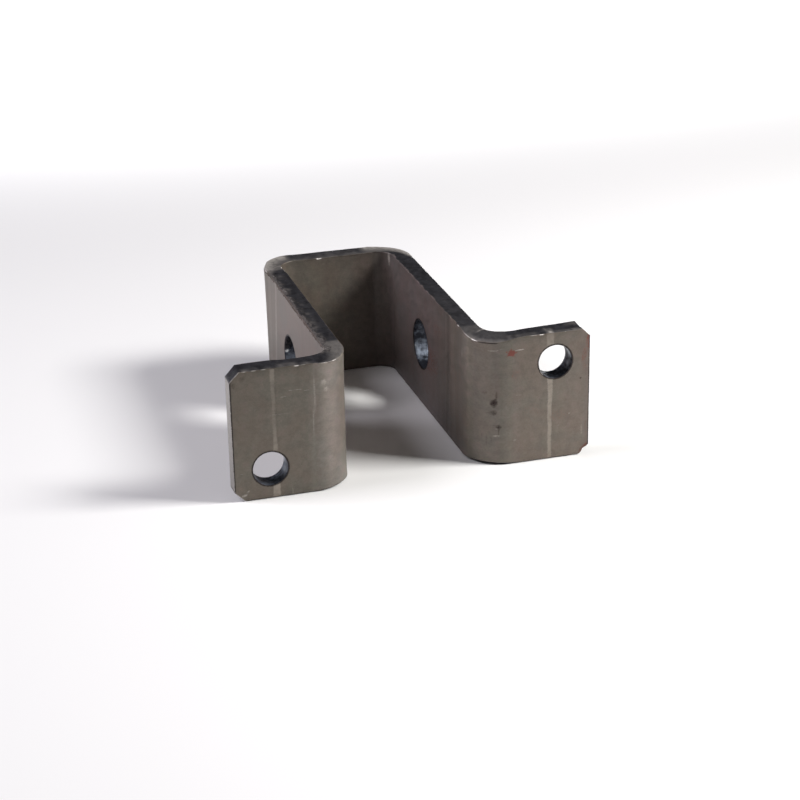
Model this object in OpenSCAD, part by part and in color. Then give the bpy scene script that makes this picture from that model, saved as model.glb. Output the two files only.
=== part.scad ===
// Mounting bracket: one strip of steel sheet, folded four times into a hat
// section. A web joins two parallel legs, and each leg turns outwards into a
// flange. The bracket stands on the strip's lower long edge.
//
// Frame: X runs across the flanges, from the left one to the right one.
// Y runs from the flanges' front faces back to the web. Z is up, along the
// strip's width. The origin is the middle of the footprint, at its underside.

/* [Strip] */
// Width of the strip, which is the bracket's height as it stands
strip_w = 35; // [30:0.5:60]
// Thickness of the sheet
sheet_t = 5; // [3:0.5:6]
// Inside radius of the four folds
bend_ri = 5; // [3:0.5:6]

/* [Hat section] */
// Outside width across the web and the two legs
web_w = 42; // [36:0.5:80]
// Depth from the flanges' front faces to the web's rear face
depth = 82; // [72:0.5:140]
// Straight length of each flange, from its fold to its end
flange_len = 21.5; // [18:0.5:45]
// Clip across each of the flanges' outer corners
corner_clip = 2.5; // [1:0.25:4]

/* [Flange holes] */
// Diameter of the bolt hole in each flange
flange_hole_d = 9; // [5:0.5:11]
// Distance from the flange's end to the centre of its hole
flange_hole_end = 9.5; // [8:0.5:11]
// Distance from the nearer long edge to the centre of each flange hole
flange_hole_edge = 8; // [7.5:0.5:14]

/* [Leg holes] */
// Diameter of the cross hole through both legs
leg_hole_d = 13.5; // [6:0.5:18]
// Distance from the web's rear face to the centre of the cross hole
leg_hole_back = 35.5; // [24:0.5:46]

/* [Hidden] */
$fn = 96;
bend_ro = bend_ri + sheet_t;               // outside radius of a fold
web_y = depth / 2;                         // the web's rear face
front_y = -depth / 2;                      // the flanges' front faces
leg_x = web_w / 2;                         // a leg's outer face
rear_cx = leg_x - bend_ro;                 // centre of a web fold
rear_cy = web_y - bend_ro;
front_cx = leg_x + bend_ri;                // centre of a flange fold
front_cy = front_y + bend_ro;
flange_end = front_cx + flange_len;        // a flange's free end
hole_x = flange_end - flange_hole_end;
cross_y = web_y - leg_hole_back;
past = 1;                                  // how far cutters run past a face

// Quarter ring of sheet about a vertical axis, from angle a to a + 90
module fold(a)
    rotate([0, 0, a])
        rotate_extrude(angle = 90)
            translate([bend_ri, 0])
                square([sheet_t, strip_w]);

// One leg, from the web's fold to the flange's fold, with the folds at its ends
module leg() {
    translate([leg_x - sheet_t, front_cy, 0])
        cube([sheet_t, rear_cy - front_cy, strip_w]);
    translate([rear_cx, rear_cy, 0])
        fold(0);
    translate([front_cx, front_cy, 0])
        fold(180);
}

// One flange: a plate with its two outer corners clipped
module flange()
    translate([0, front_y + sheet_t, 0])
        rotate([90, 0, 0])
            linear_extrude(height = sheet_t)
                polygon([
                    [front_cx, 0],
                    [flange_end - corner_clip, 0],
                    [flange_end, corner_clip],
                    [flange_end, strip_w - corner_clip],
                    [flange_end - corner_clip, strip_w],
                    [front_cx, strip_w]
                ]);

// Bolt hole through a flange, along Y
module flange_hole(x, z)
    translate([x, front_y - past, z])
        rotate([-90, 0, 0])
            cylinder(d = flange_hole_d, h = sheet_t + 2 * past);

// Cross hole through both legs, along X
module cross_hole()
    translate([-leg_x - past, cross_y, strip_w / 2])
        rotate([0, 90, 0])
            cylinder(d = leg_hole_d, h = web_w + 2 * past);

// The folded strip, with its holes: low in the left flange, high in the right
module bracket()
    color([0.43, 0.40, 0.37])
        difference() {
            union() {
                translate([-rear_cx, web_y - sheet_t, 0])
                    cube([2 * rear_cx, sheet_t, strip_w]);
                for (side = [0, 1])
                    mirror([side, 0, 0]) {
                        leg();
                        flange();
                    }
            }
            flange_hole(-hole_x, flange_hole_edge);
            flange_hole(hole_x, strip_w - flange_hole_edge);
            cross_hole();
        }

bracket();
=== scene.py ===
import bpy
import math
import numpy as np
from mathutils import Matrix, Vector


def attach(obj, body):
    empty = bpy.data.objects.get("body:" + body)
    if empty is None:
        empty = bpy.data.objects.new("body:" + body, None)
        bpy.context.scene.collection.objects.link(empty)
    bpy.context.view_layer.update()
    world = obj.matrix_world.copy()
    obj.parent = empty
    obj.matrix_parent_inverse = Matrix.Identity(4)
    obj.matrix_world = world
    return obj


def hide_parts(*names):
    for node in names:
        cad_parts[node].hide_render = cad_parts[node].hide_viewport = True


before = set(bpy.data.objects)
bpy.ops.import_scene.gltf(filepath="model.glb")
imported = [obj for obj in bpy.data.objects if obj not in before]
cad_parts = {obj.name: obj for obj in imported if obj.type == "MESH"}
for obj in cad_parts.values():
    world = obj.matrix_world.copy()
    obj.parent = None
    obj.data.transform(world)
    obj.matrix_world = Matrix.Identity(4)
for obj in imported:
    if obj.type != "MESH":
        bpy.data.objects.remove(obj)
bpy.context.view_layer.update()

MM = 0.001

# ---------------------------------------------------------------------------
# The strip, in millimetres, as in the CAD
# ---------------------------------------------------------------------------
STRIP = 35.0      # width of the strip = height of the bracket
T = 5.0           # sheet thickness
H2 = T / 2
RI = 5.0          # inside fold radius
RM = RI + H2      # radius of the middle surface
FLANGE = 21.5     # straight length of a flange
LEG = 62.0        # straight length of a leg
WEB = 22.0        # straight length of the web
CLIP = 2.5        # clipped corner
ARC = math.pi / 2 * RM

S0 = FLANGE            # left flange's fold begins
S1 = S0 + ARC          # left leg begins
S2 = S1 + LEG          # left web fold begins
S3 = S2 + ARC          # web begins
S4 = S3 + WEB          # right web fold begins
S5 = S4 + ARC          # right leg begins
S6 = S5 + LEG          # right flange's fold begins
S7 = S6 + ARC          # right flange begins
S8 = S7 + FLANGE       # right end

# centre, start angle and turn of each fold, walking from the left end.
# side is the face that is convex: +1 the front or inner face, -1 the other.
FOLDS = [
    dict(s=S0, c=(-26.0, -31.0), a0=-math.pi / 2, da=+1, side=+1, pull=0.55, at=26.4, half=1.0, soft=4.2, swell=0.25),
    dict(s=S2, c=(-11.0, 31.0), a0=math.pi, da=-1, side=-1, pull=0.10, at=101.2, half=2.0, soft=5.0, swell=0.08),
    dict(s=S4, c=(11.0, 31.0), a0=math.pi / 2, da=-1, side=-1, pull=0.10, at=135.0, half=2.0, soft=5.0, swell=0.08),
    dict(s=S6, c=(26.0, -31.0), a0=math.pi, da=+1, side=+1, pull=1.25, at=209.7, half=1.5, soft=5.8, swell=0.25),
]


def place(s, n):
    """x, y of a point of the strip at developed length s and height n above
    the middle surface. n is positive on the front and inner faces."""
    x = np.zeros_like(s)
    y = np.zeros_like(s)

    def flat(mask, x0, y0, dx, dy, s0):
        # the face normal of +n is to the right of the walking direction
        x[mask] = x0 + dx * (s[mask] - s0) + dy * n[mask]
        y[mask] = y0 + dy * (s[mask] - s0) - dx * n[mask]

    flat(s <= S0, -47.5, -38.5, 1, 0, 0.0)
    flat((s > S1) & (s <= S2), -18.5, -31.0, 0, 1, S1)
    flat((s > S3) & (s <= S4), -11.0, 38.5, 1, 0, S3)
    flat((s > S5) & (s <= S6), 18.5, 31.0, 0, -1, S5)
    flat(s > S7, 26.0, -38.5, 1, 0, S7)
    for f in FOLDS:
        m = (s > f["s"]) & (s <= f["s"] + ARC)
        a = f["a0"] + f["da"] * (s[m] - f["s"]) / RM
        r = RM + f["side"] * n[m]
        x[m] = f["c"][0] + r * np.cos(a)
        y[m] = f["c"][1] + r * np.sin(a)
    return x, y


# ---------------------------------------------------------------------------
# Smooth noise for the geometry, the same on each run
# ---------------------------------------------------------------------------
_P = np.random.default_rng(7).permutation(1024)
_V = np.random.default_rng(11).uniform(-1, 1, 1024)


def noise1(x, seed=0):
    i = np.floor(x).astype(int)
    f = x - i
    f = f * f * (3 - 2 * f)
    a = _V[_P[(i + seed * 131) & 1023]]
    b = _V[_P[(i + 1 + seed * 131) & 1023]]
    return a + (b - a) * f


def noise2(x, y, seed=0):
    i = np.floor(x).astype(int)
    j = np.floor(y).astype(int)
    u = x - i
    v = y - j
    u = u * u * (3 - 2 * u)
    v = v * v * (3 - 2 * v)

    def h(a, b):
        return _V[_P[(_P[(a + seed * 57) & 1023] + b) & 1023]]

    p = h(i, j) * (1 - u) + h(i + 1, j) * u
    q = h(i, j + 1) * (1 - u) + h(i + 1, j + 1) * u
    return p * (1 - v) + q * v


def fbm2(x, y, seed=0, octaves=4):
    total = np.zeros_like(x)
    amp = 0.5
    for k in range(octaves):
        total = total + amp * noise2(x * 2 ** k, y * 2 ** k, seed + 17 * k)
        amp *= 0.5
    return total


def hat(x, half, soft):
    """1 within +-half, falling smoothly to 0 over soft."""
    q = np.clip(1 - (np.abs(x) - half) / soft, 0, 1)
    return q * q * (3 - 2 * q)


# ---------------------------------------------------------------------------
# The flat blank: a fine grid with round windows for the holes
# ---------------------------------------------------------------------------
STEP = 0.5
RUNS = [(0.0, S0, 43), (S0, S1, 24), (S1, S2, 124), (S2, S3, 24), (S3, S4, 44),
        (S4, S5, 24), (S5, S6, 124), (S6, S7, 24), (S7, S8, 43)]
s_lines = [0.0]
for a, b, count in RUNS:
    s_lines += [a + (b - a) * k / count for k in range(1, count + 1)]
z_lines = [STEP * k for k in range(71)]
NS, NZ = len(s_lines), len(z_lines)
KC = int(round(CLIP / STEP))

HOLES = []


def window(run, centre, z, r, half):
    """A hole at this distance from the start of a run, and the square of grid
    cells round it that its rings fill."""
    base = sum(q[2] for q in RUNS[:run])
    HOLES.append(dict(
        i0=base + int(round((centre - half) / STEP)), i1=base + int(round((centre + half) / STEP)),
        j0=int(round((z - half) / STEP)), j1=int(round((z + half) / STEP)),
        s=RUNS[run][0] + centre, z=z, r=r))


window(0, 9.5, 8.0, 4.5, 6.5)        # left flange, low
window(2, 36.5, 17.5, 6.75, 9.0)     # left leg
window(6, 25.5, 17.5, 6.75, 9.0)     # right leg
window(8, 12.0, 27.0, 4.5, 6.5)      # right flange, high

P = []        # blank points: s, z
INSET = []    # direction into the sheet for points on an outline, else 0, 0
grid_id = -np.ones((NS, NZ), int)


def outside(i, j):
    ends = (i, NS - 1 - i)
    edges = (j, NZ - 1 - j)
    return any(a + b < KC for a in ends for b in edges)


def in_window(i, j):
    return any(h["i0"] < i < h["i1"] and h["j0"] < j < h["j1"] for h in HOLES)


for i in range(NS):
    for j in range(NZ):
        if outside(i, j) or in_window(i, j):
            continue
        grid_id[i, j] = len(P)
        P.append((s_lines[i], z_lines[j]))
        INSET.append((0.0, 0.0))

cells = []    # faces of the blank, counter-clockwise seen from the front
in_hole = np.zeros((NS - 1, NZ - 1), bool)
for h in HOLES:
    in_hole[h["i0"]:h["i1"], h["j0"]:h["j1"]] = True
for i in range(NS - 1):
    for j in range(NZ - 1):
        if in_hole[i, j]:
            continue
        c = [grid_id[i, j], grid_id[i + 1, j], grid_id[i + 1, j + 1], grid_id[i, j + 1]]
        c = tuple(q for q in c if q >= 0)
        if len(c) > 2:
            cells.append(c)

RINGS = 6
loops = []    # the outlines, the sheet on their left
for h in HOLES:
    border = [grid_id[i, h["j0"]] for i in range(h["i0"], h["i1"])]
    border += [grid_id[h["i1"], j] for j in range(h["j0"], h["j1"])]
    border += [grid_id[i, h["j1"]] for i in range(h["i1"], h["i0"], -1)]
    border += [grid_id[h["i0"], j] for j in range(h["j1"], h["j0"], -1)]
    count = len(border)
    rings = [border]
    for k in range(RINGS - 1, -1, -1):
        t = (k / RINGS) ** 1.25
        ring = []
        for q in border:
            a, b = P[q][0] - h["s"], P[q][1] - h["z"]
            far = math.hypot(a, b)
            u, v = a / far, b / far
            rr = h["r"] + (far - h["r"]) * t
            ring.append(len(P))
            P.append((h["s"] + u * rr, h["z"] + v * rr))
            INSET.append((u, v) if k == 0 else (0.0, 0.0))
        rings.append(ring)
    for a, b in zip(rings[:-1], rings[1:]):
        for k in range(count):
            k2 = (k + 1) % count
            cells.append((a[k], a[k2], b[k2], b[k]))
    loops.append(rings[-1][::-1])

# the outer outline, counter-clockwise, with the clipped corners
walk = [(i, 0) for i in range(KC, NS - 1 - KC)]
walk += [(NS - 1 - KC + k, k) for k in range(KC)]
walk += [(NS - 1, j) for j in range(KC, NZ - 1 - KC)]
walk += [(NS - 1 - k, NZ - 1 - KC + k) for k in range(KC)]
walk += [(i, NZ - 1) for i in range(NS - 1 - KC, KC, -1)]
walk += [(KC - k, NZ - 1 - k) for k in range(KC)]
walk += [(0, j) for j in range(NZ - 1 - KC, KC, -1)]
walk += [(k, KC - k) for k in range(KC)]
outer_loop = [grid_id[i, j] for i, j in walk]
count = len(outer_loop)
for k in range(count):
    a = np.array(P[outer_loop[k - 1]])
    b = np.array(P[outer_loop[k]])
    c = np.array(P[outer_loop[(k + 1) % count]])
    d1 = (b - a) / np.linalg.norm(b - a)
    d2 = (c - b) / np.linalg.norm(c - b)
    n1 = np.array([-d1[1], d1[0]])
    n2 = np.array([-d2[1], d2[0]])
    mitre = (n1 + n2) / ((n1 + n2) @ n1)
    INSET[outer_loop[k]] = (mitre[0], mitre[1])

P = np.array(P)
INSET = np.array(INSET)
on_line = np.abs(INSET).sum(1) > 0
is_hole = np.zeros(len(P), bool)
for loop in loops:
    is_hole[loop] = True

# distance of each point to the nearest outline
depth_in = np.minimum.reduce([P[:, 1], STRIP - P[:, 1], P[:, 0], S8 - P[:, 0]])
for a in (P[:, 0], S8 - P[:, 0]):
    for b in (P[:, 1], STRIP - P[:, 1]):
        depth_in = np.minimum(depth_in, (a + b - CLIP) * math.sqrt(0.5))
for h in HOLES:
    depth_in = np.minimum(depth_in, np.hypot(P[:, 0] - h["s"], P[:, 1] - h["z"]) - h["r"])
depth_in = np.maximum(depth_in, 0)


# ---------------------------------------------------------------------------
# How far each corner between a face and a cut surface is broken, in mm
# ---------------------------------------------------------------------------
def corner_break(s, z, front, hole):
    e = (0.15 if hole else 0.20) + 0.10 * fbm2(s * 0.55, z * 0.55, 3 if front else 5)
    if not hole and not front:
        # the upper edge of the left leg is rolled over on its outer side
        rolled = (z > STRIP - 0.6) & (s > S1 - 4) & (s < S2 + 4)
        e = e + np.where(rolled, 0.40 + 0.25 * fbm2(s * 0.35, 0 * s, 9), 0.0)
        e = e + np.where((z > STRIP - 0.6) & (s > S4) & (s < S6), 0.12, 0.0)
    return np.clip(e, 0.07, 0.30 if hole else 0.75)


eF = np.zeros(len(P))
eB = np.zeros(len(P))
for hole in (False, True):
    m = on_line & (is_hole == hole)
    eF[m] = corner_break(P[m, 0], P[m, 1], True, hole)
    eB[m] = corner_break(P[m, 0], P[m, 1], False, hole)

# rows of a cut surface, from the front face's corner to the rear face's
NA, NF = 3, 8
ROWS = [("F", k / NA) for k in range(1, NA + 1)]
ROWS += [("M", k / NF) for k in range(1, NF)]
ROWS += [("B", k / NA) for k in range(NA, 0, -1)]

# every vertex: s, z, n, corner (mm from the corner, + on a face, - on a cut),
# kind (0 face, 1 outer cut surface, 2 hole wall), side (+1 front, -1 rear,
# 0 cut), outward direction of a cut surface in s and z
columns = [[] for _ in range(8)]
made = 0


def add(count, *values):
    global made
    first = made
    for column, v in zip(columns, values):
        column.append(np.broadcast_to(np.asarray(v, float), (count,)))
    made += count
    return first


f0 = add(len(P), P[:, 0] + INSET[:, 0] * eF, P[:, 1] + INSET[:, 1] * eF, H2, np.where(on_line, eF, depth_in), 0, 1, 0, 0)
b0 = add(len(P), P[:, 0] + INSET[:, 0] * eB, P[:, 1] + INSET[:, 1] * eB, -H2, np.where(on_line, eB, depth_in), 0, -1, 0, 0)

faces = []
for c in cells:
    faces.append(tuple(f0 + v for v in c))
    faces.append(tuple(b0 + v for v in c[::-1]))

for number, loop in enumerate([outer_loop] + loops):
    loop = np.array(loop)
    count = len(loop)
    ps, pz = P[loop, 0], P[loop, 1]
    us, uz = INSET[loop, 0], INSET[loop, 1]
    ef, eb = eF[loop], eB[loop]
    strands = [f0 + loop]
    for name, t in ROWS:
        turn = t * math.pi / 2
        if name == "F":
            inset = ef * (1 - math.sin(turn))
            height = H2 - ef * (1 - math.cos(turn))
            corner = ef * (1 - t * 2)
        elif name == "B":
            inset = eb * (1 - math.sin(turn))
            height = -H2 + eb * (1 - math.cos(turn))
            corner = eb * (1 - t * 2)
        else:
            height = (H2 - ef) * (1 - t) + (eb - H2) * t
            inset = 0 * ef
            corner = -(H2 - np.abs(height))
        first = add(count, ps + us * inset, pz + uz * inset, height, corner, 2 if number else 1, 0, -us, -uz)
        strands.append(first + np.arange(count))
    strands.append(b0 + loop)
    for a, b in zip(strands[:-1], strands[1:]):
        for v in range(count):
            v2 = (v + 1) % count
            faces.append((a[v], b[v], b[v2], a[v2]))

sf, zf, nf, corner, kd, sd, out_s, out_z = [np.concatenate(c) for c in columns]
s, z, n = sf.copy(), zf.copy(), nf.copy()
is_face = kd == 0
is_cut = kd == 1

# ---------------------------------------------------------------------------
# What folding, cutting and handling did to the sheet
# ---------------------------------------------------------------------------
edge_dist = np.minimum(zf, STRIP - zf)
upper = zf > STRIP / 2
for f in FOLDS:
    g = hat(sf - (f["s"] + ARC / 2), 3.2, 5.6)
    q = f["side"] * nf / H2
    # the cut edge draws in on the round side and swells on the hollow side
    pull = -f["pull"] * np.clip((q + 0.15) / 1.15, 0, 1) ** 1.45
    swell = f["swell"] * np.where(upper, 1.0, 0.5) * np.clip(-q, 0, 1) ** 1.2
    amount = pull * hat(sf - f["at"], f["half"], f["soft"]) + swell * g
    z += np.where(upper, 1, -0.4) * amount * np.exp(-edge_dist / 2.4)
    n += f["side"] * 0.13 * g * np.exp(-edge_dist / 3.0)

# the left web fold leans out a little towards its upper edge
n -= 0.35 * hat(sf - S2 - 5.0, 3.0, 8.0) * np.clip((zf - 4) / 30, 0, 1)

# the shears left a low burr on the rear side of the upper edge
burr = np.interp(sf, [0, 2, 6, 11, 15, S2, S2 + 4, S3 - 3, S3, S3 + 8, S4, S4 + 3, 216, 221, 228, 234, S8],
                 [0.0, 0.15, 0.25, 0.25, 0, 0, 0.40, 0.35, 0.15, 0.18, 0.10, 0, 0, 0.25, 0.35, 0.5, 0.4])
z += np.where(upper, burr * np.clip(0.2 - nf / H2, 0, 1.2) ** 1.3 * np.exp(-edge_dist / 0.8), 0)

# shallow flattened lines that the folding tool pressed in
press = np.zeros_like(s)
stripe = np.full_like(s, -3.0)
stripe_k = np.zeros_like(s)


def press_line(at, face, width, depth, slant=0.0, taper=0.0, amount=1.0, fade=None, seed=0):
    """A line across the strip. taper widens it towards the lower edge, fade
    gives its strength at rising heights."""
    global press, n
    c = at + slant * (zf - STRIP / 2) / STRIP + 0.10 * noise1(zf * 0.35, seed)
    half = width / 2 * (1 + taper * (STRIP / 2 - zf) / STRIP + 0.10 * noise1(zf * 0.9, seed + 3))
    m = hat(sf - c, np.maximum(half - 0.2, 0.1), 0.5) * (sd == face)
    k = amount if fade is None else amount * np.interp(zf, *fade)
    press = press + m * k
    n = n - face * depth * m


def tool_stripe(at, widths, strengths, seed):
    """A sharper line on the front face: widths and strengths are lists over
    rising height. Kept as a distance to its border, for a clean outline."""
    global stripe, stripe_k, n
    c = at + 0.10 * noise1(zf * 0.35, seed)
    half = np.interp(zf, *widths) / 2 + 0.03 * noise1(zf * 0.8, seed + 3) + 0.02 * noise1(zf * 2.1, seed + 5)
    inside = np.where(sd == 1, half - np.abs(sf - c), -3.0)
    closer = inside > stripe
    stripe_k = np.where(closer, np.interp(zf, *strengths), stripe_k)
    stripe = np.maximum(stripe, inside)
    n = n - 0.05 * np.clip(inside / 0.4 + 0.5, 0, 1)


TOOL = 10.6     # distance from a fold's end to the tool's line
tool_stripe(S0 - TOOL + 0.05, ([0, 6, 12, 16, 20, 28, 32, 35], [1.9, 1.7, 1.25, 0.9, 0.8, 0.85, 1.0, 1.1]),
            ([0, 3, 12, 15, 20, 25, 28, 31, 34, 35], [1.0, 1.0, 0.85, 0.60, 0.30, 0.24, 0.26, 0.36, 0.6, 0.5]), 2)
tool_stripe(S7 + TOOL, ([0, 3, 14, 18, 22, 30, 35], [1.05, 1.0, 1.05, 1.2, 1.45, 1.85, 2.0]),
            ([0, 10, 20, 30, 35], [0.9, 1.0, 1.0, 0.75, 0.45]), 5)
press_line(S0 - 0.4, 1, 0.5, 0.015, slant=0.9, amount=0.16, seed=8)
press_line(S1 + 12.0, 1, 0.9, 0.04, seed=11)
press_line(S6 - 12.1, 1, 2.2, 0.05, slant=1.6, amount=-0.9, seed=14)
press_line(S6 - 15.0, 1, 1.0, 0.02, slant=1.0, amount=-0.4, seed=29)
press_line(S6 - 7.6, 1, 2.6, 0.02, slant=-0.6, amount=0.20, seed=32)
press_line(S2 - 8.6, -1, 1.6, 0.04, slant=-4.5, amount=0.50, seed=17)
press_line(S2 - 2.5, -1, 2.6, 0.02, slant=-1.5, amount=0.22, seed=35)
press_line(S1 + 20.0, -1, 3.0, 0.02, slant=2.0, amount=-0.12, seed=38)
press_line(S5 + TOOL, -1, 1.0, 0.04, amount=0.8, seed=20)
press_line(S3 + WEB / 2 - 0.9, -1, 0.9, 0.04, amount=0.8, seed=23)
press_line(S3 + WEB / 2 + 0.9, -1, 0.9, 0.04, amount=0.8, seed=26)

# faint rolling waves on the faces, marks through the thickness on the cuts
n += np.where(is_face, sd * 0.018 * fbm2(sf * 0.13, zf * 0.13, 21, 3), 0)
n += np.where(is_face, sd * 0.006 * fbm2(sf * 0.8, zf * 0.8, 23, 3), 0)
along = sf * np.abs(out_z) + zf * np.abs(out_s)
rough = 0.055 * noise1(along * 1.3, 31) + 0.035 * noise2(along * 3.1, nf * 0.8, 33)
rough *= np.where(upper & (sf > S1) & (sf < S7), 0.3, 1.0)
rough *= hat(nf, H2 - 0.7, 0.7)
s += np.where(is_cut, out_s * rough, 0)
z += np.where(is_cut, out_z * rough, 0)

# the right flange's upper corner is clipped a little less on its front face
q = 1 - 0.20 * np.clip((nf / H2 + 0.9) / 1.5, 0, 1)
q = q + (1 - q) * np.clip((S8 - sf + STRIP - zf - CLIP) / 5.5, 0, 1)
s = S8 - (S8 - s) * q
z = STRIP - (STRIP - z) * q

# small nicks in the corners between the faces and the cut surfaces
NICKS = [  # s, z, depth, radius, face
    (S8 - 1.35, 1.2, 0.8, 0.8, 1),
    (17.2, 35.0, 0.30, 1.0, 1),
    (20.0, 35.0, 0.16, 0.7, 1),
    (7.8, 35.0, 0.12, 0.7, 1),
    (0.15, 32.4, 0.35, 0.7, 1),
    (199.6, 35.0, 0.25, 0.7, 1),
    (206.9, 35.0, 0.20, 0.6, 1),
    (222.9, 35.0, 0.20, 0.6, 1),
    (S3 + 6.4, 35.0, 0.30, 0.7, 1),
    (S2 + 0.7, 35.0, 0.30, 0.8, 1),
    (92.6, 35.0, 0.15, 0.7, 1),
    (60.0, 35.0, 0.3, 0.8, -1),
    (66.5, 35.0, 0.35, 1.2, -1),
    (73.0, 35.0, 0.3, 1.0, -1),
    (50.0, 35.0, 0.3, 0.9, -1),
]
for (a, b, depth, radius, face) in NICKS:
    d = np.sqrt((sf - a) ** 2 + (zf - b) ** 2 + (nf - face * H2) ** 2)
    g = np.clip(1 - d / radius, 0, 1) ** 1.5
    z -= (1 if b > 17 else -1) * depth * g * 0.7
    n -= face * depth * g * 0.6

x, y = place(s, n)
co = np.stack([x, y, z], 1) * MM

mesh = bpy.data.meshes.new("bracket_sheet")
mesh.from_pydata(co.tolist(), [], [tuple(int(v) for v in f) for f in faces])
mesh.validate(verbose=False)
mesh.update()
mesh.polygons.foreach_set("use_smooth", [True] * len(mesh.polygons))


# ---------------------------------------------------------------------------
# Fields that the material reads
# ---------------------------------------------------------------------------
# small marks on the front and inner faces:
# s, z, half length, half height, turn in degrees, strength
RUST = [
    (214.75, 30.90, 0.70, 0.60, 20, 1.5), (214.10, 30.32, 0.62, 0.24, 42, 0.7), (214.75, 31.75, 0.24, 0.75, 4, 0.9),
    (215.75, 31.00, 0.75, 0.24, -6, 0.9), (213.80, 31.35, 0.75, 0.22, -28, 0.75), (215.35, 30.25, 0.60, 0.22, -48, 0.8),
    (235.80, 31.40, 0.70, 1.90, 0, 0.8), (234.50, 28.00, 0.55, 2.20, -10, 0.5), (234.60, 24.60, 0.60, 1.60, 0, 0.30),
    (234.90, 1.80, 1.50, 0.60, 45, 0.75), (235.60, 7.50, 0.70, 4.50, 0, 0.25), (235.90, 20.00, 0.25, 4.50, 0, 0.35),
    (227.50, 12.00, 2.40, 1.40, 0, 0.22), (221.00, 14.50, 2.60, 1.30, 0, 0.22), (215.60, 24.80, 0.90, 1.30, -30, 0.30),
    (176.00, 16.00, 5.50, 3.50, 10, 0.38), (181.00, 27.00, 3.00, 2.00, 0, 0.25),
]
STAIN = [
    (210.95, 17.20, 0.58, 0.70, -15, 1.6), (211.35, 16.55, 0.40, 0.42, 0, 1.2), (211.45, 18.95, 0.24, 1.10, -4, 0.9),
    (209.25, 19.80, 0.50, 0.40, 0, 0.40), (211.05, 14.55, 0.42, 0.56, 0, 1.15), (210.05, 14.60, 0.70, 0.25, 0, 0.35),
    (212.10, 10.45, 0.40, 0.42, 0, 1.6), (212.12, 9.30, 0.15, 0.80, 0, 0.8), (211.30, 10.95, 0.45, 0.15, 10, 0.5),
    (209.80, 6.80, 0.22, 1.10, 0, 0.32), (208.60, 7.60, 0.20, 0.80, 0, 0.24), (210.90, 7.10, 0.18, 0.80, 0, 0.28),
    (233.65, 21.40, 0.32, 0.28, 0, 1.1), (235.20, 2.00, 1.20, 0.40, 45, 0.7), (234.00, 1.00, 0.50, 0.60, 0, 0.6), (230.25, 11.90, 0.20, 0.25, 0, 0.5), (17.50, 7.80, 0.22, 0.18, 30, 0.6),
    (3.20, 33.20, 0.60, 0.50, 30, 0.45), (1.20, 31.60, 0.40, 0.60, 0, 0.5), (9.40, 27.00, 0.30, 0.30, 0, 0.25),
]
# rubbed places, and painted highlights: the strokes at s 136.8, 96.0 and 92.9, at the inner upper corners of the web
# folds, stand in for highlights
RUBS_AND_HIGHLIGHTS = [
    (217.10, 31.60, 0.80, 0.18, 3, 1.3), (216.10, 31.72, 0.45, 0.14, -4, 0.8), (211.10, 32.10, 0.60, 0.15, 6, 1.0),
    (210.35, 31.97, 0.28, 0.14, 0, 0.7), (212.60, 32.56, 0.40, 0.10, 8, 0.45), (211.85, 8.15, 0.50, 0.22, 8, 1.0),
    (211.55, 10.05, 0.28, 0.20, 0, 0.55), (215.85, 6.30, 0.35, 0.30, 30, 0.45), (216.45, 18.80, 0.80, 0.10, 4, 0.30),
    (230.60, 12.05, 0.28, 0.22, 20, 0.6), (227.80, 9.05, 0.35, 0.13, 25, 0.4), (234.20, 6.90, 0.25, 1.10, 0, 0.35),
    (202.90, 28.60, 0.25, 1.30, -6, 0.55), (185.80, 23.90, 0.25, 0.30, 0, 0.2),
    (15.60, 28.50, 0.45, 0.13, -4, 0.6), (17.40, 28.40, 1.10, 0.10, -6, 0.5), (19.30, 28.10, 0.50, 0.12, 0, 0.4),
    (13.40, 26.90, 0.90, 0.14, 12, 0.4), (12.20, 22.40, 2.40, 0.12, -2, 0.28), (23.35, 29.75, 0.40, 0.55, 10, 0.6), (24.10, 27.50, 0.40, 0.50, 0, 0.55),
    (1.80, 7.40, 0.35, 0.15, 0, 0.45), (14.95, 1.20, 0.12, 0.80, 0, 0.7), (2.55, 1.40, 0.55, 0.28, 20, 0.9),
    (3.60, 2.40, 0.40, 0.22, 30, 0.6), (8.60, 3.30, 0.70, 0.12, 4, 0.6), (21.30, 27.00, 0.22, 3.80, 2, 0.35),
    (20.85, 19.00, 0.16, 2.60, 0, 0.35), (136.80, 33.70, 0.45, 1.70, 4, 1.0), (96.00, 34.80, 0.60, 0.25, 0, 1.0),
    (92.90, 34.80, 1.10, 0.15, 0, 0.5), (235.40, 0.50, 0.40, 0.30, 0, 0.7),
]

# painted light and shade on the hole walls of the legs and flanges: s, z, half length, half height, height n above the
# middle surface, half height in n, strength; negative is painted shade, above 1 a near-white painted glint
WALL_LIGHT_AND_SHADE = [
    (159.6, 17.3, 2.0, 0.8, 0.0, 4.0, -0.35), (158.5, 23.0, 4.0, 1.6, 0.0, 4.0, -0.15), (160.6, 13.9, 2.0, 1.9, 0.3, 3.4, 0.28),
    (160.6, 13.7, 1.8, 1.9, 1.7, 0.55, 0.60), (160.0, 14.9, 0.9, 0.6, 2.1, 0.4, 0.9), (166.0, 10.8, 2.4, 0.8, 0.0, 4.0, -0.5),
    (76.2, 21.2, 2.6, 2.6, 0.0, 4.0, -0.3), (76.4, 17.8, 0.9, 0.40, -1.9, 0.6, 2.2), (76.3, 15.8, 1.6, 1.0, -1.0, 3.0, 0.3),
    (14.0, 9.0, 1.5, 1.5, -1.2, 2.0, 1.0), (13.6, 6.4, 1.0, 1.2, 0.3, 2.6, 0.72), (10.5, 3.4, 3.5, 1.2, 0.0, 4.0, 0.22),
    (S7 + 16.3, 28.8, 1.4, 1.3, 0.9, 1.2, 0.9), (S7 + 16.1, 25.4, 0.9, 0.8, 0.4, 0.9, 0.75), (S7 + 13.5, 22.6, 3.0, 1.3, 0.0, 4.0, -0.2),
]


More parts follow.
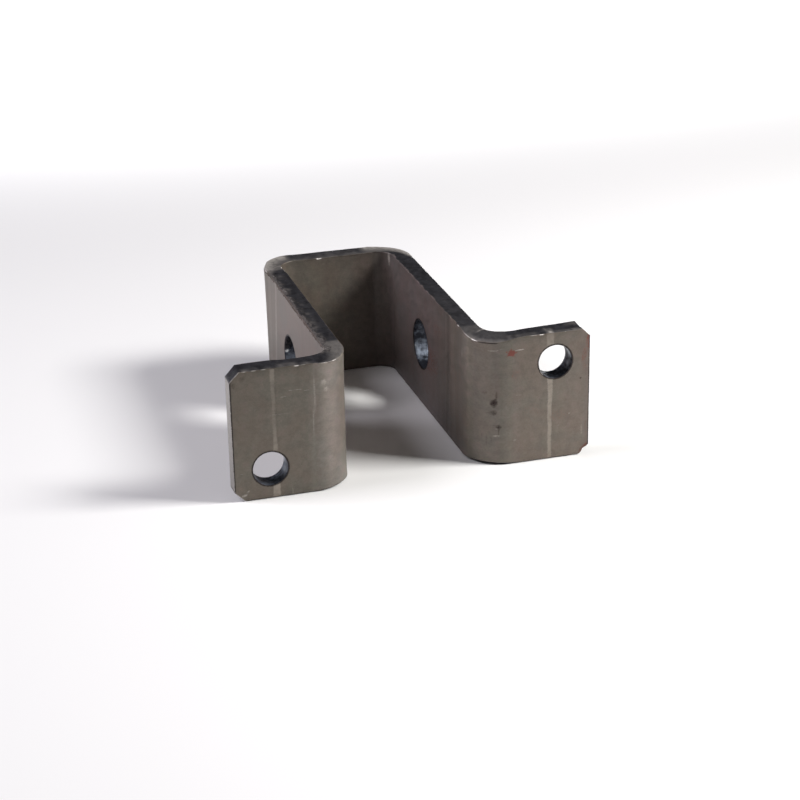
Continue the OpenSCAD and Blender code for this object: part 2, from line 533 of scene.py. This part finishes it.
def field(items):
    """Strength of a list of oval marks on the front face, flat inside and
    falling in a straight line outside. A mark narrower than the grid sits on
    a grid line."""
    total = np.full_like(s, -3.0)
    for (a, b, ra, rb, turn, k) in items:
        if ra < 0.6:
            a = min(s_lines, key=lambda q: abs(q - a))
        if rb < 0.6:
            b = min(z_lines, key=lambda q: abs(q - b))
        c, w = math.cos(math.radians(turn)), math.sin(math.radians(turn))
        u, v = (sf - a) * c + (zf - b) * w, (zf - b) * c - (sf - a) * w
        d = np.sqrt((u / ra) ** 2 + (v / rb) ** 2)
        total = np.where(sd == 1, np.maximum(total, np.minimum(k, k * (2.0 - 1.2 * d))), total)
    return total


wall_light_and_shade = np.zeros_like(s)
for (a, b, ra, rb, c, rc, k) in WALL_LIGHT_AND_SHADE:
    d = np.sqrt(((sf - a) / ra) ** 2 + ((zf - b) / rb) ** 2 + ((nf - c) / rc) ** 2)
    m = k * np.clip(1.6 - 1.1 * d, 0, 1) * (kd == 2)
    wall_light_and_shade = np.where(np.abs(m) > np.abs(wall_light_and_shade), m, wall_light_and_shade)

# painted glints: highlights painted as near-white colour along the corners, by developed length: centre, half length,
# strength
painted_glint = np.zeros_like(s)
near_corner = (kd < 2) * (corner < 1.2)


def paint_glint(mask, *items):
    global painted_glint
    for (a, half, k) in items:
        painted_glint = np.maximum(painted_glint, k * hat(sf - a, half, 0.35) * near_corner * mask)


paint_glint((nf > 0) & upper,
      (3.9, 0.2, 0.5), (6.2, 0.4, 0.4), (8.6, 0.3, 0.3), (17.2, 0.4, 0.85), (18.8, 0.2, 0.25),
      (26.1, 0.3, 0.6), (S2 + 0.7, 0.8, 1.0), (93.0, 1.6, 0.45), (48.2, 0.15, 0.7),
      (67.0, 0.2, 0.35), (S3 + 6.4, 0.55, 1.0), (199.6, 0.3, 0.9), (206.0, 1.5, 0.28), (206.9, 0.25, 1.0),
      (220.7, 0.7, 0.22), (222.9, 0.2, 0.9))
paint_glint((nf < 0) & upper,
      (S3 + WEB / 2, 15.0, 0.75), (S5 + 18.0, 22.0, 0.6), (S5 + 50.0, 10.0, 0.45), (S2 + 4.0, 5.0, 0.75))
paint_glint((nf > 0) & (sf < CLIP + 0.3) & (zf > STRIP - CLIP - 0.3), (CLIP / 2, 3.0, 0.25))
paint_glint((nf > 0) & (sf < CLIP + 0.3) & (zf < CLIP + 0.3), (CLIP / 2, 3.0, 0.45))

# how far the face's own surface runs over the corner, mm
spill = np.where((nf < 0) & upper, np.interp(sf, [22, 25, 28, 33, S2 - 6, S2 - 1, S2 + 6], [0, 0.4, 1.2, 1.15, 0.9, 0.15, 0.1]), 0)
spill = spill + np.where((nf > 0) & upper, np.interp(sf, [S2, S3, S4 - 2, S4, S5, 212.5, 214.5, 218.0, 219.5], [0.1, 0.45, 0.45, 0.15, 0.30, 0.2, 0.45, 0.5, 0.1]), 0)

# cut surface lighter where the folding tool burnished it, with a painted highlight streak at the right flange fold's
# inner rear corner near s 205.6, and darker towards the rear side over s 0-22 and 214-226 and on the upper left clip; t
# runs from -1 on the rear or outer side to +1 on the front or inner side
t = nf / H2
burnish_and_highlight = 0.95 * np.clip((sf - 25.5 + 3 * t) / 4.5, 0, 1) ** 0.8 * np.clip((37.2 - sf) / 1.2, 0, 1)
burnish_and_highlight = np.maximum(burnish_and_highlight, (1.10 - 0.45 * t) * hat(sf - S2 - 4.6, 4.6, 2.0))
back = S2 - np.interp(t, [-1, -0.3, 0.4, 1], [6.5, 3.2, 1.0, 0.5])
burnish_and_highlight = np.maximum(burnish_and_highlight, 1.05 * np.clip((sf - back) / 2.2, 0, 1) * np.clip((S2 + 5 - sf) / 2.0, 0, 1))
reach = np.interp(t, [-1, -0.4, 0.2, 0.6, 1], [16.0, 13.0, 9.0, 7.0, 5.0])
burnish_and_highlight = np.maximum(burnish_and_highlight, (1.10 - 0.4 * t) * np.clip((sf - S4 + 3.5) / 2.5, 0, 1) * np.clip((S4 + reach - sf) / 2.0, 0, 1))
burnish_and_highlight = np.maximum(burnish_and_highlight, 0.58 * hat(sf - 203.4, 1.4, 2.6))
burnish_and_highlight = np.maximum(burnish_and_highlight, 0.90 * hat(sf - 209.0, 4.0, 1.2) * np.clip((t - 0.50) / 0.25, 0, 1))
burnish_and_highlight = np.maximum(burnish_and_highlight, 0.32 * hat(sf - 210.0, 3.5, 1.5))
# painted highlight: a thin light streak at the right flange fold's inner rear corner
burnish_and_highlight = np.maximum(burnish_and_highlight, 1.30 * hat(sf - 205.6 + 0.3 * t, 0.15, 0.6) * np.clip((0.3 - t) / 0.6, 0, 1))
for (a, b, lo, hi, k) in [
        (3.5, 7.5, 0.3, 1.2, 0.70), (9.0, 12.0, 0.5, 1.2, 0.5), (12.5, 17.5, 0.1, 1.2, 0.85), (18.5, 21.5, 0.5, 1.2, 0.7), (S3, S4 - 4, -0.6, 0.7, 0.42),
        (S3 - 1, S4 - 3, 0.3, 1.2, 0.60), (213.0, 222.0, 0.2, 1.2, 0.50), (224.4, 226.4, -0.3, 1.2, 1.25),
        (226.8, 230.4, 0.5, 1.2, 0.80), (231.0, 234.6, 0.45, 1.2, 0.95), (S5 + 36, S6 - 1, -1.2, 1.2, 0.12), (230.4, 233.4, -0.75, -0.45, 0.80)]:
    patch = hat(sf - (a + b) / 2, (b - a) / 2 - 0.3, 0.8) * hat(t - (lo + hi) / 2, (hi - lo) / 2 - 0.15, 0.4)
    burnish_and_highlight = np.maximum(burnish_and_highlight, k * patch * (0.75 + 0.5 * noise2(sf * 0.9, nf * 0.9, 51)))
burnish_and_highlight = burnish_and_highlight - np.interp(sf, [0, 18, 22], [1, 1, 0]) * np.clip(-t - 0.35, 0, 0.4) / 0.4
burnish_and_highlight = burnish_and_highlight - np.interp(sf, [214, 217, 223, 226], [0, 0.8, 0.8, 0]) * np.clip(-t - 0.2, 0, 0.4) / 0.4
burnish_and_highlight = burnish_and_highlight - 0.5 * (sf < CLIP + 0.4) * np.clip((0.9 - t) / 0.4, 0, 1)
patch = np.clip(1.5 * noise2(sf * 0.45, nf * 0.7, 55) + 0.6 * noise2(sf * 1.3, nf * 1.5, 57) - 0.15, 0, 1)
burnish_and_highlight = np.maximum(burnish_and_highlight, 0.75 * patch * np.interp(sf, [S1 + 3, S1 + 6, S2 - 4, S2], [0, 1, 1, 0]) * np.clip(0.7 - t, 0, 1))
burnish_and_highlight *= is_cut & upper

# a darker ring where a hole's wall meets a face
ring = np.minimum.reduce([np.abs(np.hypot(sf - h["s"], zf - h["z"]) - h["r"]) for h in HOLES])
# the cut surfaces at both ends, lighter than the strip's long edges
lighter_end_cuts = is_cut & ((sf < 0.8) | (sf > S8 - 0.8)) & (zf > CLIP) & (zf < STRIP - CLIP)
# painted shade: a thin dark line where the front face meets the ends, under the drawn-in lip at the flange folds, and
# along the web's upper front corner
shade_line_mask = (nf > 0) & ((sf < 1.5) | (sf > S8 - 1.5)) & (zf > CLIP) & (zf < STRIP - CLIP)
lip = (nf > 0) & upper & (kd < 2)
shade_line_mask = shade_line_mask + lip * (0.9 * hat(sf - 209.9, 1.6, 0.9) + 0.6 * hat(sf - 25.6, 1.2, 0.6) + 0.45 * hat(sf - 122.0, 11.0, 3.0))
painted_shade_rim = shade_line_mask * np.exp(-((corner - 0.10) / 0.22) ** 2)


# tone of the faces along the strip, from the mill, the folding and handling, with painted light in it: the flange
# folds' round sides are painted lighter (painted highlight) and the web's inner right corner darker (painted shade)
TONE_AND_PAINTED_LIGHT = [
    # painted highlight over s 21.6-34.5, on the left flange fold's round side
    (0.0, (0.84, 0.83, 0.79)), (19.0, (0.87, 0.87, 0.83)), (21.6, (1.04, 1.05, 1.05)), (24.5, (1.24, 1.28, 1.33)),
    (29.5, (1.23, 1.26, 1.30)), (34.5, (1.05, 0.98, 1.02)), (75.0, (1.03, 0.96, 1.00)), (87.0, (0.92, 0.90, 0.91)),
    # painted shade towards s 130, in the web's inner right corner
    (104.0, (0.95, 0.94, 0.92)), (112.0, (1.0, 1.0, 0.97)), (121.0, (0.90, 0.89, 0.88)), (130.0, (0.66, 0.63, 0.66)),
    (140.0, (0.93, 0.90, 1.02)), (155.0, (1.00, 0.94, 1.08)), (172.0, (0.95, 0.88, 1.00)), (188.0, (0.88, 0.84, 0.92)),
    # painted highlight round s 205.3, on the right flange fold
    (198.0, (0.96, 0.93, 0.94)), (203.0, (1.05, 1.03, 1.05)), (205.3, (1.36, 1.34, 1.38)), (208.2, (1.06, 1.06, 1.07)),
    (213.5, (0.98, 0.96, 0.95)), (217.0, (0.99, 0.96, 0.94)), (228.0, (1.05, 1.02, 0.99)), (S8, (1.10, 1.05, 1.05)),
]
tone_and_painted_light = np.stack([np.interp(sf, [a for a, c in TONE_AND_PAINTED_LIGHT], [c[k] for a, c in TONE_AND_PAINTED_LIGHT]) for k in range(3)], 1)
front = nf > 0
# darker near the bottom of the right web fold and right leg (low) and towards the top of the flanges (high); painted
# shade in a band just under the upper edge of the front faces, strongest on the flanges and the web
low = front * np.interp(sf, [S4 - 6, S5, S6 - 6, S6 + 1], [0, 1, 1, 0]) * np.interp(zf, [3, 12], [1, 0])
high = front * np.interp(sf, [20, 26, 207, 213], [1, 0, 0, 1]) * np.interp(zf, [8, 30], [0, 1])
painted_edge_shade = front * np.interp(sf, [0, 20, 23, 36, S2, S3, S4, S5, 212, 216, S8], [0.16, 0.18, 0, 0, 0.05, 0.2, 0.2, 0, 0, 0.17, 0.14])
painted_edge_shade *= np.clip(1 - (STRIP - zf - 0.2) / 2.2, 0, 1)
tone_and_painted_light *= (1 - 0.25 * low - 0.12 * high - painted_edge_shade)[:, None]
# faint bands across the strip where it went through the folding tool
bands = front * np.interp(sf, [0, S0 - 2, S0, S1 + 6, S2 - 4, S5 + 4, S6 - 16, S7, S7 + 4, S8], [0.3, 0.4, 1, 0.4, 0.2, 0.4, 1, 1, 0.4, 0.3])
for k, (a, b) in enumerate([(0.055, 61), (0.045, 61), (0.040, 61)]):
    tone_and_painted_light[:, k] *= 1 + bands * (a * noise1(sf * 0.8, b) + 0.03 * noise1(sf * 2.3 + 0.06 * zf, b + 2) + 0.02 * noise1(sf * 1.1, 70 + k))


def point_attribute(name, values, typ="FLOAT"):
    a = mesh.attributes.new(name, typ, "POINT")
    a.data.foreach_set("vector" if typ == "FLOAT_VECTOR" else "value", np.asarray(values, np.float32).ravel())


point_attribute("blank", np.stack([sf, zf, nf], 1), "FLOAT_VECTOR")
point_attribute("corner", corner)
point_attribute("wall", kd == 2)
point_attribute("painted_shade_rim", painted_shade_rim)
point_attribute("ring", np.minimum(ring, 3.0))
point_attribute("press", press)
point_attribute("rust", field(RUST))
point_attribute("stain", field(STAIN))
point_attribute("rubs_and_highlights", field(RUBS_AND_HIGHLIGHTS))
point_attribute("wall_light_and_shade", wall_light_and_shade)
point_attribute("tone_and_painted_light", tone_and_painted_light, "FLOAT_VECTOR")
point_attribute("stripe", np.clip(stripe, -3, 3))
point_attribute("stripe_k", stripe_k)
point_attribute("painted_glint", painted_glint)
point_attribute("spill", spill)
point_attribute("burnish_and_highlight", burnish_and_highlight)
point_attribute("lighter_end_cuts", lighter_end_cuts)

piece = bpy.data.objects.new("bracket_sheet", mesh)
bpy.context.scene.collection.objects.link(piece)


# ---------------------------------------------------------------------------
# Materials
# ---------------------------------------------------------------------------
class Nodes:
    """Small helpers to write node networks as expressions."""

    def __init__(self, tree):
        self.t = tree

    def new(self, kind, **kw):
        node = self.t.nodes.new(kind)
        for k, v in kw.items():
            setattr(node, k, v)
        return node

    def put(self, socket, value):
        if isinstance(value, bpy.types.NodeSocket):
            self.t.links.new(value, socket)
        else:
            socket.default_value = value

    def attr(self, name, out="Fac"):
        return self.new("ShaderNodeAttribute", attribute_type="GEOMETRY", attribute_name=name).outputs[out]

    def math(self, op, a, b=0.0):
        node = self.new("ShaderNodeMath", operation=op)
        self.put(node.inputs[0], a)
        self.put(node.inputs[1], b)
        return node.outputs[0]

    def add(self, a, b):
        return self.math("ADD", a, b)

    def sub(self, a, b):
        return self.math("SUBTRACT", a, b)

    def mul(self, a, b):
        return self.math("MULTIPLY", a, b)

    def top(self, a, b):
        return self.math("MAXIMUM", a, b)

    def ramp(self, value, lo, hi, a=0.0, b=1.0):
        node = self.new("ShaderNodeMapRange", clamp=True, interpolation_type="SMOOTHSTEP")
        for k, v in enumerate((value, lo, hi, a, b)):
            self.put(node.inputs[k], v)
        return node.outputs[0]

    def scaled(self, vector, sx, sy, sz):
        node = self.new("ShaderNodeVectorMath", operation="MULTIPLY")
        self.put(node.inputs[0], vector)
        node.inputs[1].default_value = (sx, sy, sz)
        return node.outputs[0]

    def noise(self, vector, scale, detail=2.0, rough=0.5, distort=0.0):
        node = self.new("ShaderNodeTexNoise", noise_dimensions="3D")
        self.put(node.inputs["Vector"], vector)
        node.inputs["Scale"].default_value = scale
        node.inputs["Detail"].default_value = detail
        node.inputs["Roughness"].default_value = rough
        node.inputs["Distortion"].default_value = distort
        return node.outputs[0]

    def mix(self, fac, a, b, blend="MIX"):
        node = self.new("ShaderNodeMix", data_type="RGBA", blend_type=blend, clamp_factor=True)
        self.put(node.inputs[0], fac)
        self.put(node.inputs[6], a)
        self.put(node.inputs[7], b)
        return node.outputs[2]

    def mixf(self, fac, a, b):
        node = self.new("ShaderNodeMix", data_type="FLOAT", clamp_factor=True)
        self.put(node.inputs[0], fac)
        self.put(node.inputs[2], a)
        self.put(node.inputs[3], b)
        return node.outputs[0]

    def grey(self, value):
        node = self.new("ShaderNodeCombineColor")
        for k in range(3):
            self.put(node.inputs[k], value)
        return node.outputs[0]

    def bump(self, height, strength, distance, normal=None):
        node = self.new("ShaderNodeBump")
        self.put(node.inputs["Strength"], strength)
        self.put(node.inputs["Distance"], distance)
        self.put(node.inputs["Height"], height)
        if normal is not None:
            self.put(node.inputs["Normal"], normal)
        return node.outputs[0]


def rgb(r, g, b):
    """An sRGB colour, 0 to 255, as a linear one."""
    def lin(c):
        c /= 255
        return c / 12.92 if c <= 0.04045 else ((c + 0.055) / 1.055) ** 2.4
    return (lin(r), lin(g), lin(b), 1.0)


def steel_material():
    mat = bpy.data.materials.new("raw_steel")
    mat.use_nodes = True
    tree = mat.node_tree
    tree.nodes.clear()
    N = Nodes(tree)
    out = N.new("ShaderNodeOutputMaterial")
    sh = N.new("ShaderNodeBsdfPrincipled")
    tree.links.new(sh.outputs[0], out.inputs[0])

    B = N.attr("blank", "Vector")
    corner = N.attr("corner")
    wall = N.attr("wall")

    # --- mill surface of the faces
    blotch = N.noise(B, 0.11, 3.0, 0.55, 0.6)
    cloud = N.noise(B, 0.42, 3.0, 0.6, 0.3)
    grain = N.noise(B, 2.6, 3.0, 0.65)
    streak = N.noise(N.scaled(B, 0.10, 1.3, 1.0), 1.0, 3.0, 0.6)     # rolling marks run along the strip
    col = N.mix(N.ramp(blotch, 0.36, 0.66), rgb(110, 101, 92), rgb(104, 99, 91))
    col = N.mix(N.ramp(cloud, 0.50, 0.74, 0.0, 0.7), col, rgb(109, 97, 92))
    tone = N.add(N.ramp(grain, 0.25, 0.75, 0.89, 1.11), N.ramp(streak, 0.3, 0.7, -0.015, 0.015))
    tone = N.mul(tone, N.ramp(cloud, 0.30, 0.70, 0.88, 1.12))
    tone = N.mul(tone, N.ramp(blotch, 0.3, 0.7, 0.94, 1.06))
    along = N.new("ShaderNodeSeparateXYZ")
    N.put(along.inputs[0], B)
    rear = N.ramp(along.outputs[2], -2.0, -2.4)
    tone = N.mixf(N.mul(rear, 0.8), tone, 1.0)
    col = N.mix(1.0, col, N.grey(tone), "MULTIPLY")
    col = N.mix(1.0, col, N.attr("tone_and_painted_light", "Color"), "MULTIPLY")
    rough_face = N.add(N.ramp(cloud, 0.3, 0.7, 0.42, 0.52), N.ramp(grain, 0.3, 0.7, -0.05, 0.05))
    rough_face = N.mixf(N.mul(rear, 0.8), rough_face, 0.47)

    # --- pressed lines: burnished where positive, darker where negative
    sm = N.mul(N.ramp(N.add(N.attr("stripe"), N.ramp(grain, 0.3, 0.7, -0.07, 0.07)), -0.20, 0.20), N.mul(N.attr("stripe_k"), N.ramp(N.noise(B, 0.9, 3.0, 0.6), 0.25, 0.6, 0.55, 1.0)))
    col = N.mix(N.mul(sm, 0.75), col, rgb(152, 143, 132))
    pm = N.mul(N.attr("press"), N.ramp(N.noise(B, 0.9, 2.0, 0.5), 0.25, 0.55, 0.6, 1.0))
    col = N.mix(N.mul(pm, 0.55), col, rgb(156, 148, 139))
    col = N.mix(N.mul(pm, -0.5), col, rgb(70, 62, 60))
    rough_face = N.mixf(N.mul(pm, 0.5), rough_face, 0.36)

    # --- small rubbed and scratched places with painted highlights among them, dark smudges, rust
    speck = N.noise(B, 2.6, 3.0, 0.65)
    rubs_and_highlights = N.mul(N.attr("rubs_and_highlights"), N.ramp(speck, 0.34, 0.56, 0.3, 1.0))
    col = N.mix(rubs_and_highlights, col, rgb(166, 158, 151))
    st = N.mul(N.attr("stain"), N.ramp(speck, 0.34, 0.56, 1.0, 0.6))
    col = N.mix(N.mul(st, 0.85), col, rgb(44, 35, 35))
    rs = N.add(N.attr("rust"), N.mul(N.sub(speck, 0.52), 2.2))
    rs = N.mul(N.ramp(rs, 0.10, 1.10), N.ramp(N.attr("rust"), 0.0, 0.3))
    col = N.mix(N.mul(rs, 0.85), col, rgb(112, 52, 43))

    # --- cut surfaces: darker, slightly blue, with lines through the thickness
    lines = N.noise(N.scaled(B, 0.8, 0.8, 0.6), 1.0, 3.0, 0.6)
    fleck = N.noise(B, 1.5, 4.0, 0.65)
    cutc = N.mix(N.ramp(lines, 0.3, 0.7), rgb(66, 65, 69), rgb(79, 79, 84))
    cutc = N.mix(N.ramp(cloud, 0.54, 0.36, 0.0, 0.6), cutc, rgb(44, 43, 47))
    cutc = N.mix(N.ramp(fleck, 0.58, 0.72, 0.0, 0.5), cutc, rgb(118, 114, 112))
    # burnished places and a painted highlight streak on the cut surfaces, lighter; darker where negative
    burnish_and_highlight = N.mul(N.attr("burnish_and_highlight"), N.ramp(fleck, 0.25, 0.6, 0.7, 1.0))
    cutc = N.mix(burnish_and_highlight, cutc, rgb(118, 114, 111))
    cutc = N.mix(N.ramp(burnish_and_highlight, 0.85, 1.5), cutc, rgb(180, 175, 169))
    cutc = N.mix(N.mul(burnish_and_highlight, -0.8), cutc, rgb(26, 25, 28))
    cutc = N.mix(N.attr("lighter_end_cuts"), cutc, rgb(158, 154, 150))
    soft = N.mixf(0.35, N.noise(B, 0.9, 2.0, 0.5), fleck)
    wallc = N.mix(N.ramp(N.add(soft, N.mul(N.attr("wall_light_and_shade"), 0.4)), 0.36, 0.72), rgb(40, 42, 50), rgb(106, 113, 125))
    turned = N.noise(N.scaled(B, 0.30, 0.30, 2.0), 1.0, 3.0, 0.6)
    # painted highlight on the hole walls: lighter where the wall marks are strong, near white above 1.05
    painted_wall_light = N.mul(N.ramp(N.attr("wall_light_and_shade"), 0.5, 1.0), N.ramp(turned, 0.38, 0.60, 0.40, 1.0))
    wallc = N.mix(N.mul(painted_wall_light, 0.9), wallc, rgb(191, 197, 201))
    wallc = N.mix(N.ramp(N.attr("wall_light_and_shade"), 1.05, 1.30), wallc, rgb(252, 253, 255))
    cutc = N.mix(wall, cutc, wallc)

    # where the face's surface ends and the cut begins: a torn line
    spill = N.attr("spill")
    torn = N.mul(N.sub(N.noise(B, 1.5, 4.0, 0.75), 0.5), N.ramp(spill, 0.1, 1.0, 0.8, 2.0))
    wander = N.ramp(N.noise(B, 0.38, 2.0, 0.5), 0.34, 0.62, 0.25, 1.35)
    edge = N.add(N.add(corner, torn), N.mul(spill, wander))
    cut = N.ramp(edge, N.ramp(spill, 0.1, 0.6, 0.10, 0.22), N.ramp(spill, 0.1, 0.6, -0.12, -0.24))
    cut = N.top(cut, N.mul(wall, N.ramp(corner, 0.14, 0.02)))
    halfway = N.mul(N.ramp(edge, -1.5, -0.2), N.ramp(spill, 0.3, 0.9, 0.0, 0.55))
    cutc = N.mix(N.mul(halfway, N.ramp(fleck, 0.35, 0.6, 0.25, 1.0)), cutc, rgb(112, 107, 104))
    over = N.mul(N.ramp(corner, 0.05, -0.25), N.ramp(spill, 0.2, 0.6, 0.0, 0.75))
    col = N.mix(over, col, rgb(93, 90, 90))
    flake = N.noise(B, 2.1, 4.0, 0.7)
    col = N.mix(N.mul(over, N.ramp(flake, 0.50, 0.40, 0.0, 0.8)), col, rgb(52, 50, 52))
    col = N.mix(N.mul(over, N.ramp(flake, 0.56, 0.68, 0.0, 1.1)), col, rgb(166, 161, 157))
    gap = N.mul(N.ramp(N.math("ABSOLUTE", N.add(edge, 0.05)), 0.28, 0.08), N.ramp(spill, 0.3, 0.9))
    # painted shade line along those corners
    col = N.mix(N.mul(N.ramp(N.attr("painted_shade_rim"), 0.1, 0.7), 0.8), col, rgb(34, 31, 34))
    ringed = N.ramp(N.add(N.attr("ring"), N.mul(speck, 0.3)), 0.75, 0.42)
    ringed = N.top(N.mul(ringed, N.sub(1.0, cut)), N.mul(wall, N.ramp(corner, -0.45, -0.05, 0.0, 0.6)))
    col = N.mix(cut, col, cutc)
    col = N.mix(N.mul(gap, N.ramp(flake, 0.60, 0.45, 0.0, 0.75)), col, rgb(34, 32, 35))
    col = N.mix(N.mul(ringed, 0.85), col, rgb(32, 29, 32))
    rough = N.mixf(cut, rough_face, N.ramp(fleck, 0.3, 0.7, 0.36, 0.50))

    # painted highlights on the very corner, in places: near-white colour that stands in for glints
    near = N.ramp(N.math("ABSOLUTE", N.sub(corner, 0.03)), 0.20, 0.04)
    thin = N.ramp(N.math("ABSOLUTE", N.sub(corner, 0.04)), 0.24, 0.06)
    painted_highlight = N.mul(near, N.ramp(N.noise(B, 0.85, 4.0, 0.75), 0.60, 0.74, 0.0, 0.28))
    painted_highlight = N.mul(painted_highlight, N.sub(1.0, N.top(N.attr("painted_shade_rim"), ringed)))
    painted_highlight = N.top(painted_highlight, N.mul(N.mul(N.attr("painted_glint"), thin), N.ramp(N.noise(B, 2.2, 2.0, 0.6), 0.30, 0.55, 0.45, 1.0)))
    col = N.mix(painted_highlight, col, rgb(236, 231, 226))
    rough = N.mixf(painted_highlight, rough, 0.34)

    tree.links.new(col, sh.inputs["Base Color"])
    tree.links.new(N.mixf(rs, rough, 0.8), sh.inputs["Roughness"])
    metal = N.mixf(painted_wall_light, N.mixf(cut, 0.30, N.mixf(burnish_and_highlight, 0.75, 0.4)), 0.25)
    metal = N.mixf(N.top(rs, painted_highlight), N.mixf(N.top(st, N.top(ringed, N.attr("painted_shade_rim"))), metal, 0.9), 0.1)
    tree.links.new(metal, sh.inputs["Metallic"])

    fine = N.noise(B, 5.0, 3.0, 0.6)
    mid = N.noise(B, 1.1, 3.0, 0.6)
    height = N.add(N.mul(fine, 0.35), N.mul(mid, 0.65))
    nrm = N.bump(height, N.mixf(rear, 0.35, 0.10), 0.00006)
    cuth = N.add(N.mul(lines, 0.15), N.mul(fleck, 0.85))
    nrm = N.bump(cuth, N.mul(cut, 0.7), 0.00012, nrm)
    tree.links.new(nrm, sh.inputs["Normal"])
    return mat


piece.data.materials.append(steel_material())
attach(piece, "root")
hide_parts("bracket")

# ---------------------------------------------------------------------------
# Floor, light and camera
# ---------------------------------------------------------------------------
floor_mesh = bpy.data.meshes.new("floor")
R = 3.0
floor_mesh.from_pydata([(-R, -R, -0.0002), (R, -R, -0.0002), (R, R, -0.0002), (-R, R, -0.0002)], [], [(0, 1, 2, 3)])
floor = bpy.data.objects.new("floor", floor_mesh)
bpy.context.scene.collection.objects.link(floor)
fm = bpy.data.materials.new("pale_floor")
fm.use_nodes = True
fb = fm.node_tree.nodes["Principled BSDF"]
fb.inputs["Base Color"].default_value = (0.88, 0.88, 0.88, 1)
fb.inputs["Roughness"].default_value = 0.8
fb.inputs["Specular IOR Level"].default_value = 0.2
floor_mesh.materials.append(fm)

world = bpy.data.worlds.new("studio")
bpy.context.scene.world = world
world.use_nodes = True
bg = world.node_tree.nodes["Background"]
bg.inputs["Color"].default_value = (0.96, 0.98, 1.0, 1)
bg.inputs["Strength"].default_value = 0.04


def area(name, loc, target, size, power, colour, spread=180):
    d = bpy.data.lights.new(name, "AREA")
    d.shape = "RECTANGLE"
    d.size, d.size_y = size
    d.energy = power
    d.color = colour
    d.spread = math.radians(spread)
    o = bpy.data.objects.new(name, d)
    o.location = loc
    v = Vector(target) - Vector(loc)
    o.rotation_euler = v.to_track_quat("-Z", "Y").to_euler()
    bpy.context.scene.collection.objects.link(o)


area("key", (0.39, -0.185, 0.36), (0, 0, 0.02), (0.16, 0.16), 3.95, (1.0, 0.985, 0.96))
# a narrow overhead one keeps the floor behind the bracket pale
area("back", (0.15, 0.62, 0.5), (0.15, 0.62, 0), (0.5, 0.25), 5.0, (1.0, 1.0, 1.0), 70)
area("side", (-0.95, 0.18, 0.70), (0, 0, 0.02), (0.5, 1.1), 12.5, (0.96, 0.93, 1.0))

CAM_F = 2068.56
yaw, pitch, roll = math.radians(16.2448), math.radians(22.8403), math.radians(-1.0843)
d = Vector((math.sin(yaw) * math.cos(pitch), math.cos(yaw) * math.cos(pitch), -math.sin(pitch)))
right = Vector((math.cos(yaw), -math.sin(yaw), 0))
up = right.cross(d)
right2 = math.cos(roll) * right + math.sin(roll) * up
up2 = -math.sin(roll) * right + math.cos(roll) * up
target = Vector((-0.82, -30.69, 17.5))
loc = (target - d * 15.2824 * 35) * MM
cam_data = bpy.data.cameras.new("camera")
cam_data.sensor_width = 36.0
cam_data.lens = CAM_F / 800 * 36.0
cam_data.clip_start = 0.01
cam = bpy.data.objects.new("camera", cam_data)
cam.matrix_world = Matrix((
    (right2.x, up2.x, -d.x, loc.x),
    (right2.y, up2.y, -d.y, loc.y),
    (right2.z, up2.z, -d.z, loc.z),
    (0, 0, 0, 1)))
bpy.context.scene.collection.objects.link(cam)
bpy.context.scene.camera = cam
bpy.context.scene.view_settings.view_transform = "Standard"
